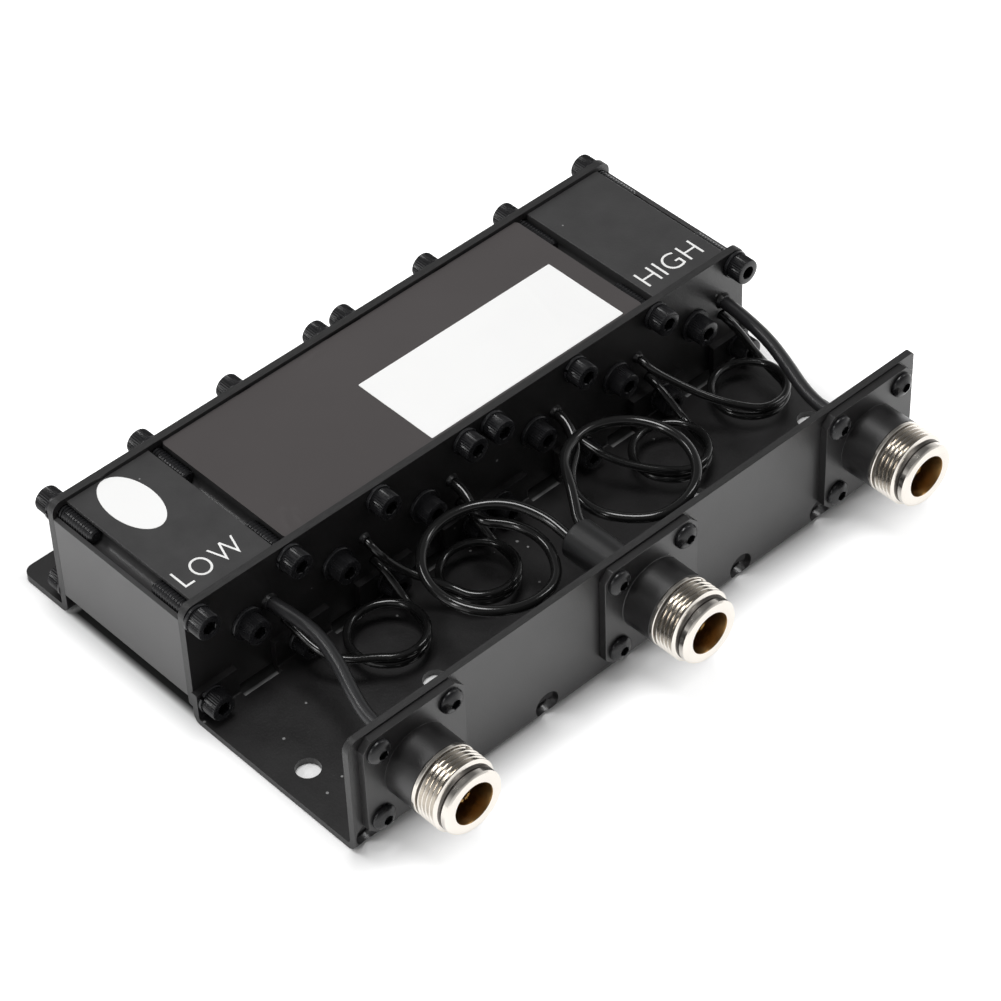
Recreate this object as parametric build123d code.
from build123d import *
import math
import os

# Cavity duplexer: two cavity extrusions between cover plates, carried on a bent chassis
# with three panel connectors. All lengths are in millimetres.
# X runs along the connector panel, Y from the panel to the rear foot, Z up from the base.
# Every size below is measured with y = 0 on the panel's outer face. The finished pieces are
# then moved so that the origin lies under the middle of the overall depth.

os.makedirs("parts", exist_ok=True)

# Bent sheet chassis
sheet = 1.6
panel_overhang = 0.4
panel_height = 30.2
panel_bend = 1.0
panel_corner_low_end = 2.5
panel_corner_high_end = 0.8
floor_depth = 45.0
tab_height = 8.2
tab_bend = 0.4
end_tab_inset = 7.28
middle_tab_width = 14.4
middle_tab_offsets = (0.54, -0.72)
centre_tab_width = 23.4
access_hole_diameter = 6.0
access_hole_height = 3.6
floor_hole_diameter = 5.3
floor_hole_depth = 21.8
floor_hole_end_inset = 6.9
floor_hole_inner_span = 74.0

# Cover plates
cover_sheet = 1.8
front_cover_face = 48.2
front_cover_foot = 1.6
cover_width = 154.0
cover_top = 30.4
cover_corner = 2.5
foot_depth = 13.5
foot_bend = 0.4
foot_hole_span = 75.0
foot_hole_inset = 6.5

# Cavity extrusions
block_length = 39.0
block_top = 29.5
half_gap = 1.6
first_screw_place = 3.7
last_screw_inset = 2.92
web = 1.5
skin = 1.5
channel_wall = 1.3
channel_clearance = 0.05
channel_inset = 2.5
corner_cut_x = 3.74
corner_cut_z = 2.6

# Cover screws, with the lock washer counted in the head
screw_diameter = 3.5
screw_length = 12.7
head_diameter = 5.8
head_height = 3.5
lock_washer = 0.8
lock_washer_diameter = 6.35
socket_flats = 2.78
socket_depth = 1.9
screw_hole_clearance = 0.15
seat_clearance = 0.05

# Tuning screws
tuning_height = 17.0
tuning_ring_diameter = 7.6
tuning_clearance = 0.05
ring_clearance = 0.2

# Resonators
winding_diameter = 15.6
winding_wire = 1.6
winding_length = 20.0
winding_stand = 3.0
winding_leg = 1.44

# Connectors
port_inset = 14.9
port_height = 17.0
flange_side = 25.4
flange_sheet = 1.8
flange_corner = 2.1
flange_hole_pitch = 18.26
flange_hole_diameter = 3.2
boss_diameter = 16.0
boss_reach = 9.0
shank_diameter = 12.0
press_gap = 0.02
thread_diameter = 15.88
neck_diameter = 14.0
collar_diameter = 14.4
barrel_reach = 18.0
rim_end = 9.9
neck_end = 10.9
thread_end = 15.6
groove_end = 16.3
groove_diameter = 13.6
mouth_chamfer = 0.5
socket_bore = 8.1
socket_bottom = 8.0
insulator_diameter = 7.0
insulator_tail = 4.0
panel_bead_clearance = 0.32
contact_diameter = 3.0
contact_front = 15.0
contact_tail = 5.0
contact_bore = 1.7
contact_bore_depth = 6.0
contact_slot = 0.4

# Flange screws
flange_screw_diameter = 3.0
flange_screw_length = 5.0
button_diameter = 5.6
button_height = 1.7
button_flat = 3.6
button_socket_flats = 2.0
button_socket_depth = 1.0

# Cables
link_diameter = 1.8
loop_diameter = 2.3
coax_diameter = 3.0
cable_hole_clearance = 0.2
coil_levels = 3
coil_spare = 0.1
coil_chamfer = 0.6
coil_radius = 8.1
coil_floor_gap = 0.1
cable_tail = 4.0
cable_exit_run = 0.8
solder_gap = 0.05
sleeve_diameter = 9.0
sleeve_bore = 7.1
sleeve_end = 19.4

# Label and stickers, each a thin skin on the cavity extrusions
label_thickness = 0.15
label_low_inset = 27.8
label_high_inset = 28.0
label_margin = 0.3
sticker_thickness = 0.1
paper_width = 53.8
paper_depth = 22.5
paper_end_inset = 4.9
paper_margin = 0.7
oval_size = (10.3, 18.2)
oval_end_inset = 12.6
oval_back_inset = 9.6

# Places worked out from the sizes above
panel_width = cover_width + 2 * panel_overhang
port_pitch = panel_width / 2 - port_inset
cell_pitch = (cover_width / 2 - first_screw_place - last_screw_inset) / 3
front_cover_back = front_cover_face + cover_sheet
block_back = front_cover_back + block_length
rear_cover_back = block_back + cover_sheet
foot_reach = rear_cover_back + foot_depth
tab_face = front_cover_face - sheet
depth_shift = (barrel_reach - foot_reach) / 2
screw_places = [first_screw_place + i * cell_pitch for i in range(4)]
all_screw_places = sorted([-x for x in screw_places] + screw_places)
cell_places = [(a + b) / 2 for a, b in zip(screw_places, screw_places[1:])]
all_cell_places = sorted([-x for x in cell_places] + cell_places)
floor_hole_spans = (panel_width - 2 * floor_hole_end_inset, floor_hole_inner_span)
upper_screw_height = block_top - channel_inset
sheet_rise = max(sheet + tab_bend, cover_sheet + foot_bend)
lower_screw_height = sheet_rise + lock_washer_diameter / 2 + seat_clearance
block_bottom = lower_screw_height - channel_inset
channel_radius = screw_diameter / 2 + channel_clearance
cell_width = cell_pitch - web
screw_hole = screw_diameter + 2 * screw_hole_clearance
head_total = head_height + lock_washer
ports = {"low": -port_pitch, "antenna": 0.0, "high": port_pitch}


def rod(diameter, y_from, y_to):
    """Round bar on the Y axis between two depths."""
    bar = Cylinder(diameter / 2, y_to - y_from, align=(Align.CENTER, Align.CENTER, Align.MIN))
    return Rot(X=-90) * Pos(0, 0, y_from) * bar


def hex_bar(flats, y_from, y_to):
    """Six-sided bar on the Y axis between two depths."""
    section = RegularPolygon(flats / math.sqrt(3), 6)
    return Rot(X=-90) * Pos(0, 0, y_from) * extrude(section, y_to - y_from)


def turned(points):
    """Solid turned about the Y axis from (radius, depth) points."""
    section = make_face(Polyline(*points, close=True))
    return revolve(section, Axis.Y)


def box_between(low, high):
    """Box from its lowest to its highest corner."""
    size = [b - a for a, b in zip(low, high)]
    middle = [(a + b) / 2 for a, b in zip(low, high)]
    return Pos(*middle) * Box(*size)


def plate(width, bottom, top, corner, y_from, y_to):
    """Upright plate with round corners."""
    outline = Rectangle(width, top - bottom)
    outline = fillet(outline.vertices(), corner)
    flat = Pos(0, (top + bottom) / 2) * outline
    return Pos(0, y_to, 0) * Rot(X=90) * extrude(flat, y_to - y_from)


def bent_section(wall, edge, height, thickness, bend):
    """Section of a sheet bent once: a wall whose outer face is at `wall`, a foot out to `edge`."""
    side = math.copysign(1, edge - wall)
    inner = wall + side * thickness
    points = [(wall, height), (wall, 0), (edge, 0), (edge, thickness), (inner, thickness), (inner, height)]
    section = make_face(Polyline(*points, close=True))
    corners = section.vertices()
    outer_corner = corners.sort_by_distance((wall, 0, 0))[0]
    section = fillet(outer_corner, bend + thickness)
    inner_corner = section.vertices().sort_by_distance((inner, thickness, 0))[0]
    return fillet(inner_corner, bend)


def bent_sheet(x_from, x_to, *section):
    """Bent sheet between two places along X."""
    return extrude(Plane.YZ.offset(x_from) * bent_section(*section), x_to - x_from)


def bores(diameter, y_from, y_to, places):
    """Round cuts along Y at (x, z) places."""
    return [Pos(x, 0, z) * rod(diameter, y_from, y_to) for x, z in places]


def mirrored(places):
    """The same distances on both sides of the middle."""
    return [side * x for x in places for side in (-1, 1)]


def flange_hole_places():
    """Centres of the twelve flange screws on the panel."""
    half = flange_hole_pitch / 2
    return [(x + sx * half, port_height + sz * half)
            for x in ports.values() for sx in (-1, 1) for sz in (-1, 1)]


def make_chassis():
    """Panel, floor and tabs, bent from one sheet."""
    half = panel_width / 2
    body = bent_sheet(-half, half, 0, floor_depth, panel_height, sheet, panel_bend)
    end_tab = screw_places[-1] - end_tab_inset
    tabs = [(-half, -end_tab), (end_tab, half), (-centre_tab_width / 2, centre_tab_width / 2)]
    middle_tabs = [place + offset for place, offset in zip(screw_places[1:3], middle_tab_offsets)]
    tabs += [(x - middle_tab_width / 2, x + middle_tab_width / 2) for x in mirrored(middle_tabs)]
    for x_from, x_to in tabs:
        body += bent_sheet(x_from, x_to, front_cover_face, floor_depth - sheet, tab_height, sheet, tab_bend)
    for x, radius in ((-half, panel_corner_low_end), (half, panel_corner_high_end)):
        edge = body.edges().filter_by(Axis.Y).sort_by_distance((x, sheet / 2, panel_height))[0]
        body = fillet(edge, radius)
    bead_hole = insulator_diameter + 2 * panel_bead_clearance
    cuts = bores(bead_hole, -1, sheet + 1, [(x, port_height) for x in ports.values()])
    cuts += bores(flange_screw_diameter + 2 * press_gap, -1, sheet + 1, flange_hole_places())
    access = [(x, access_hole_height) for x in all_screw_places]
    cuts += bores(access_hole_diameter, -1, sheet + panel_bend, access)
    cuts += bores(screw_hole, tab_face - 1, front_cover_face + 1, [(x, lower_screw_height) for x in all_screw_places])
    for span in floor_hole_spans:
        cuts += [Pos(x, floor_hole_depth, 0) * Cylinder(floor_hole_diameter / 2, 4 * sheet)
                 for x in (-span / 2, span / 2)]
    return body - cuts


def cover_screw_places():
    """Centres of both rows of cover screws."""
    return [(x, z) for z in (upper_screw_height, lower_screw_height) for x in all_screw_places]


def make_front_cover():
    """Flat plate with the screw, tuning and cable holes."""
    body = plate(cover_width, front_cover_foot, cover_top, cover_corner, front_cover_face, front_cover_back)
    ends = (front_cover_face - 1, front_cover_back + 1)
    cuts = bores(screw_hole, *ends, cover_screw_places())
    tapped = screw_diameter + 2 * tuning_clearance
    cuts += bores(tapped, *ends, [(x, tuning_height) for x in all_cell_places])
    for diameter, places in cable_exits():
        cuts += bores(diameter + 2 * cable_hole_clearance, *ends, places)
    return body - cuts


def make_rear_cover():
    """Plate that closes the cavities and is bent back into the rear foot."""
    half = cover_width / 2
    body = bent_sheet(-half, half, block_back, foot_reach, cover_top, cover_sheet, foot_bend)
    for x in (-half, half):
        edge = body.edges().filter_by(Axis.Y).sort_by_distance((x, block_back, cover_top))[0]
        body = fillet(edge, cover_corner)
        edge = body.edges().filter_by(Axis.Z).sort_by_distance((x, foot_reach, 0))[0]
        body = fillet(edge, cover_corner)
    cuts = bores(screw_hole, block_back - 1, rear_cover_back + 1, cover_screw_places())
    cuts += [Pos(x, foot_reach - foot_hole_inset, 0) * Cylinder(floor_hole_diameter / 2, 4 * cover_sheet)
             for x in (-foot_hole_span / 2, foot_hole_span / 2)]
    return body - cuts


def cell_section(middle):
    """Opening of one cavity, drawn round the screw channels at its corners."""
    height = block_top - block_bottom - 2 * skin
    level = (block_top + block_bottom) / 2
    keep = channel_radius + channel_wall
    opening = Pos(middle, level) * Rectangle(cell_width, height)
    for sx in (-1, 1):
        for z, up in ((upper_screw_height, 1), (lower_screw_height, -1)):
            place = middle + sx * cell_pitch / 2
            opening -= Pos(place, z) * Circle(keep)
            opening -= Pos(place, z + up * keep / 2) * Rectangle(2 * keep, keep)
    return opening


def make_block(side):
    """One extrusion with three cavities, side -1 for the low half and 1 for the high half."""
    inner_end = half_gap / 2
    outer_end = cover_width / 2
    middle = (inner_end + outer_end) / 2
    level = (block_top + block_bottom) / 2
    height = block_top - block_bottom
    section = Pos(middle, level) * Rectangle(outer_end - inner_end, height)
    for z, up in ((upper_screw_height, 1), (lower_screw_height, -1)):
        for x in screw_places[1:3]:
            section -= Pos(x, z + up * channel_inset) * Rectangle(2 * channel_radius, 2 * channel_inset)
        for x in screw_places:
            section -= Pos(x, z) * Circle(channel_radius)
        for end, out in ((inner_end, -1), (outer_end, 1)):
            notch = Pos(end, z + up * channel_inset) * Rectangle(2 * corner_cut_x, 2 * corner_cut_z)
            section -= notch
    for x in cell_places:
        section -= cell_section(x)
    body = Pos(0, block_back, 0) * Rot(X=90) * extrude(section, block_length)
    return body if side > 0 else mirror(body, Plane.YZ)


def cap_screw():
    """Socket cap screw along Y with its washer's seat at y = 0 and its head towards -Y."""
    body = rod(head_diameter, -head_total, 0) + rod(screw_diameter, -lock_washer, screw_length - lock_washer)
    return body - hex_bar(socket_flats, -head_total - 1, -head_total + socket_depth)


def screw_row(height, seat, turn=0):
    """Eight cap screws at one height, turned round for the rear cover."""
    screw = Rot(Z=turn) * cap_screw()
    return [Pos(x, seat, height) * screw for x in all_screw_places]


def make_tuning_screw(place):
    """Tuning screw whose head rests on its ring."""
    top = -head_total
    body = rod(head_diameter, top, -lock_washer) + rod(screw_diameter, -lock_washer - 1, screw_length - lock_washer)
    body -= hex_bar(socket_flats, top - 1, top + socket_depth)
    return Pos(place, front_cover_face, tuning_height) * body


def make_tuning_rings():
    """Thin rings on the front cover, one under each tuning screw's head."""
    ring = rod(tuning_ring_diameter, -lock_washer, 0) - rod(screw_diameter + 2 * ring_clearance, -1, 1)
    return [Pos(x, front_cover_face, tuning_height) * ring for x in all_cell_places]


def make_resonator(place):
    """Closed outer shape of a helical winding, with the straight leg that joins it to the rear cover."""
    back = block_back - winding_stand
    front = back - winding_length
    body = rod(winding_diameter, front, back) - rod(winding_diameter - 2 * winding_wire, front - 1, back + 1)
    leg_offset = (winding_diameter - winding_wire) / 2
    body += Pos(leg_offset, 0, 0) * rod(winding_leg, back - 1, block_back)
    return Pos(place, 0, tuning_height) * body


def make_port_flange(place):
    """Square connector flange with cut corners and a round boss."""
    outline = chamfer(Rectangle(flange_side, flange_side).vertices(), flange_corner)
    body = Rot(X=90) * extrude(outline, flange_sheet) + rod(boss_diameter, -boss_reach, 0)
    body -= rod(shank_diameter + 2 * press_gap, -boss_reach - 1, 1)
    half = flange_hole_pitch / 2
    holes = [(sx * half, sz * half) for sx in (-1, 1) for sz in (-1, 1)]
    body -= bores(flange_hole_diameter, -flange_sheet - 1, 1, holes)
    return Pos(place, 0, port_height) * body


def make_port_barrel(place):
    """Threaded barrel, drawn at its thread's outer diameter."""
    shank, rim = shank_diameter / 2, thread_diameter / 2
    neck, groove, collar = neck_diameter / 2, groove_diameter / 2, collar_diameter / 2
    seat, mouth = insulator_diameter / 2 + press_gap, socket_bore / 2
    points = [(shank, 0), (shank, -boss_reach), (rim, -boss_reach), (rim, -rim_end), (neck, -rim_end),
              (neck, -neck_end), (rim, -neck_end), (rim, -thread_end), (groove, -thread_end),
              (groove, -groove_end), (collar, -groove_end), (collar, -barrel_reach + mouth_chamfer),
              (collar - mouth_chamfer, -barrel_reach), (mouth + mouth_chamfer, -barrel_reach),
              (mouth, -barrel_reach + mouth_chamfer), (mouth, -socket_bottom), (seat, -socket_bottom), (seat, 0)]
    return Pos(place, 0, port_height) * turned(points)


def make_port_insulator(place):
    """Bead that carries the centre contact through the panel."""
    body = rod(insulator_diameter, -socket_bottom, insulator_tail)
    body -= rod(contact_diameter + 2 * press_gap, -socket_bottom - 1, insulator_tail + 1)
    return Pos(place, 0, port_height) * body


def make_port_contact(place):
    """Centre contact with a slotted socket at the front and a solder tail at the back."""
    body = rod(contact_diameter, -contact_front, contact_tail)
    body -= rod(contact_bore, -contact_front - 1, -contact_front + contact_bore_depth)
    slot_bottom = -contact_front + contact_bore_depth
    for wide, high in ((contact_diameter * 2, contact_slot), (contact_slot, contact_diameter * 2)):
        body -= box_between((-wide / 2, -contact_front - 1, -high / 2), (wide / 2, slot_bottom, high / 2))
    return Pos(place, 0, port_height) * body


def make_flange_screws():
    """Button-head screws that hold the three flanges to the panel."""
    points = [(0, -button_height), (button_flat / 2, -button_height), (button_diameter / 2, -button_height / 3),
              (button_diameter / 2, 0), (flange_screw_diameter / 2, 0),
              (flange_screw_diameter / 2, flange_screw_length), (0, flange_screw_length)]
    screw = turned(points) - hex_bar(button_socket_flats, -button_height - 1, -button_height + button_socket_depth)
    return [Pos(x, -flange_sheet, z) * screw for x, z in flange_hole_places()]


def corner_radii(points):
    """One radius for each corner: 0.45 of the shorter run over the tangent of half the turn."""
    spots = [Vector(*p) for p in points]
    radii = []
    for before, here, after in zip(spots, spots[1:], spots[2:]):
        one, two = here - before, after - here
        turn = math.radians(one.get_angle(two))
        radii.append(0.45 * min(one.length, two.length) / math.tan(turn / 2))
    return radii


def tube(name, points, diameter):
    """Round cable along straight runs joined by tangent arcs."""
    radii = corner_radii(points)
    path = FilletPolyline(*points, radius=radii)
    section = Plane(origin=path @ 0, z_dir=path % 0) * Circle(diameter / 2)
    body = sweep(section, path=path)
    expected = math.pi * diameter ** 2 / 4 * path.length
    print(f"{name}: length {path.length:.1f}, least radius {min(radii):.1f}, volume ratio {body.volume / expected:.4f}")
    return body


def turns(middle, radius, start, step, count, z_from, z_to):
    """Points of a coil, one for each step of angle, rising or falling evenly."""
    points = []
    for i in range(count + 1):
        angle = math.radians(start + i * step)
        z = z_from + (z_to - z_from) * i / count
        points.append((middle[0] + radius * math.cos(angle), middle[1] + radius * math.sin(angle), z))
    return points


def through_cover(place, height):
    """The two points that take a cable straight through the front cover, from inside its cavity."""
    return [(place, front_cover_back + cable_tail, height), (place, front_cover_face - cable_exit_run, height)]


# Cable holes in the front cover: which cell, how far short of the cell's high side screw, and the height
cells = {f"cell {number}": place for number, place in enumerate(all_cell_places, start=1)}
link_exits = {"a": (("cell 1", 2.23, 11.3), ("cell 2", 2.23, 11.3)),
              "b": (("cell 2", 4.23, 18.5), ("cell 3", 2.23, 11.3)),
              "e": (("cell 4", 2.23, 11.3), ("cell 5", 2.23, 11.3)),
              "f": (("cell 5", 5.23, 18.5), ("cell 6", 3.58, 15.0))}
loop_exits = {"c": ("cell 3", 3.9, 18.5), "d": ("cell 4", 5.66, 18.5)}
coax_exits = {"low": ("cell 1", 5.78, 18.5), "high": ("cell 6", 3.18, 18.6)}

# Routes of the link cables. Places along X are counted from the hole that the lead belongs to, and
# the first lead's hole counts for the middle of the coil too.
coil_middles = {"a": (15.05, 35.0), "b": (18.5, 35.0), "e": (14.8, 32.7), "f": (19.8, 34.6)}
lead_in = {"a": [(0.05, 43.2, 9.4), (0.55, 38.2, 8.0), (3.25, 33.6, 6.9), (8.35, 30.4, 5.8)],
           "b": [(0.4, 44.8, 16.5), (2.8, 42.4, 12.8), (6.0, 39.8, 8.9), (10.3, 34.3, 5.8)],
           "e": [(0.0, 43.4, 10.7), (1.2, 38.2, 9.4), (4.5, 32.6, 7.6), (10.1, 26.1, 5.8)],
           "f": [(0.5, 44.2, 17.1), (4.0, 39.8, 13.6), (8.6, 34.6, 9.6), (14.1, 28.9, 5.8)]}
lead_out = {"a": [(0.2, 39.4, 6.6), (0.1, 43.6, 10.0)], "b": [(0.9, 39.0, 6.8), (0.2, 43.4, 10.6)],
            "e": [(0.2, 38.2, 6.6), (0.0, 43.2, 10.0)], "f": [(3.1, 39.4, 7.6), (1.1, 43.9, 12.6)]}
lead_out_height = 3.6

# Routes of the port cables, counted along X from the cable hole
coax_middles = {"low": [(1.0, 41.6, 18.3), (1.2, 34.2, 18.0), (-0.8, 26.4, 17.6), (-3.8, 19.0, 17.2)],
                "high": [(-0.5, 41.0, 18.4), (-1.7, 33.0, 18.0), (-4.1, 25.4, 17.5), (-6.9, 18.2, 17.1)]}

# Loop cables: middle of the loop from its cell, radius of its first and of its later turns
loop_middles = {"c": ("cell 3", -1.77, 26.5), "d": ("cell 4", 5.77, 25.6)}
loop_radii = {"c": (13.2, 14.1), "d": (12.6, 13.9)}


def hole_place(cell, inset, height):
    """Place of a cable hole, as distance along X and height."""
    return (cells[cell] + cell_pitch / 2 - inset, height)


def from_hole(place, points):
    """Points of a route whose places along X are counted from a cable hole."""
    return [(place[0] + x, y, z) for x, y, z in points]


def cable_exits():
    """Hole places in the front cover by cable diameter."""
    links = [hole_place(*end) for pair in link_exits.values() for end in pair]
    loops = [hole_place(*end) for end in loop_exits.values()]
    coaxes = [hole_place(*end) for end in coax_exits.values()]
    return ((link_diameter, links), (loop_diameter, loops), (coax_diameter, coaxes))


def make_link(name):
    """Coiled link cable: two leads and the closed outer shape of its turns on the floor."""
    half = link_diameter / 2 + coil_spare
    low = sheet + coil_floor_gap
    high = low + coil_levels * link_diameter
    section = Pos(coil_radius, (low + high) / 2) * Rectangle(2 * half, high - low)
    section = chamfer(section.vertices(), coil_chamfer)
    ring = revolve(Plane.XZ * section, Axis.Z)
    start, end = [hole_place(*end) for end in link_exits[name]]
    middle_x, middle_y = start[0] + coil_middles[name][0], coil_middles[name][1]
    inward = through_cover(*start) + from_hole(start, lead_in[name])
    outward = [(middle_x + coil_radius, middle_y, lead_out_height)]
    outward += from_hole(end, lead_out[name]) + through_cover(*end)[::-1]
    body = Pos(middle_x, middle_y, 0) * ring
    body += tube("link " + name + " in", inward, link_diameter)
    body += tube("link " + name + " out", outward, link_diameter)
    return body


def make_loop(name):
    """Link cable with one large open turn, which ends in the sleeve behind the middle connector."""
    place = hole_place(*loop_exits[name])
    cell, offset, middle_y = loop_middles[name]
    middle = (cells[cell] + offset, middle_y)
    first, later = loop_radii[name]
    points = through_cover(*place)
    if name == "c":
        points += from_hole(place, [(0.1, 43.2, 16.9)])
        points += turns(middle, first, 58, -30, 3, 15.8, 15.6)
        points += turns(middle, later, -62, -30, 9, 16.0, 20.4)
        points += [(-1.9, 26.4, 19.2), (-1.4, 20.4, 17.6), (-1.4, 14.9, 16.8)]
    else:
        points += from_hole(place, [(-0.1, 44.0, 17.4), (-2.1, 39.6, 15.4)])
        points += turns(middle, first, 132, 30, 3, 15.2, 15.6)
        points += turns(middle, later, 252, 30, 9, 16.1, 20.4)
        points += [(4.9, 25.2, 19.6), (1.5, 20.4, 18.4), (1.3, 14.9, 17.6)]
    return tube("loop " + name, points, loop_diameter)


def make_coax(name):
    """Port cable from its cavity to the solder tail of its connector."""
    place = hole_place(*coax_exits[name])
    side = ports[name]
    points = through_cover(*place) + from_hole(place, coax_middles[name])
    points += [(side, 11.6, port_height), (side, contact_tail + solder_gap, port_height)]
    return tube(name + " cable", points, coax_diameter)


def make_sleeve():
    """Sleeve over the joint behind the middle connector."""
    body = rod(sleeve_diameter, sheet, sleeve_end) - rod(sleeve_bore, sheet - 1, sleeve_end + 1)
    return Pos(0, 0, port_height) * body


def make_label():
    """Printed film over the middle of both extrusions."""
    low = (label_low_inset - cover_width / 2, front_cover_back + label_margin, block_top)
    high = (cover_width / 2 - label_high_inset, block_back - label_margin, block_top + label_thickness)
    return box_between(low, high)


def make_paper_sticker():
    """Paper sticker on the label."""
    high_end = cover_width / 2 - label_high_inset - paper_end_inset
    front = front_cover_back + label_margin + paper_margin
    bottom = block_top + label_thickness
    high = (high_end, front + paper_depth, bottom + sticker_thickness)
    return box_between((high_end - paper_width, front, bottom), high)


def make_oval_sticker():
    """Thin oval skin."""
    middle = (oval_end_inset - cover_width / 2, block_back - oval_back_inset)
    outline = Pos(*middle) * Ellipse(oval_size[0] / 2, oval_size[1] / 2)
    return Pos(0, 0, block_top) * extrude(outline, sticker_thickness)


def save(name, *solids):
    """Writes one node, moved to the part's own origin."""
    placed = [Pos(0, depth_shift, 0) * solid for solid in solids]
    shape = placed[0] if len(placed) == 1 else Compound(children=placed)
    export_step(shape, f"parts/{name}.step")


save("chassis", make_chassis())
save("front_cover", make_front_cover())
save("rear_cover", make_rear_cover())
save("low_cavity_block", make_block(-1))
save("high_cavity_block", make_block(1))

for port, place in ports.items():
    save(f"{port}_port_flange", make_port_flange(place))
    save(f"{port}_port_barrel", make_port_barrel(place))
    save(f"{port}_port_insulator", make_port_insulator(place))
    save(f"{port}_port_contact", make_port_contact(place))
save("flange_screws", *make_flange_screws())

save("front_cover_screws", *screw_row(upper_screw_height, front_cover_face))
save("tab_screws", *screw_row(lower_screw_height, tab_face))
save("rear_upper_screws", *screw_row(upper_screw_height, rear_cover_back, 180))
save("rear_lower_screws", *screw_row(lower_screw_height, rear_cover_back, 180))

for number, place in enumerate(all_cell_places, start=1):
    save(f"tuning_screw_{number}", make_tuning_screw(place))
    save(f"resonator_{number}", make_resonator(place))
save("tuning_rings", *make_tuning_rings())

save("antenna_sleeve", make_sleeve())
for port in coax_exits:
    save(f"{port}_cable", make_coax(port))
for link in link_exits:
    save(f"link_cable_{link}", make_link(link))
for link in loop_exits:
    save(f"link_cable_{link}", make_loop(link))

save("top_label", make_label())
save("paper_sticker", make_paper_sticker())
save("oval_sticker", make_oval_sticker())
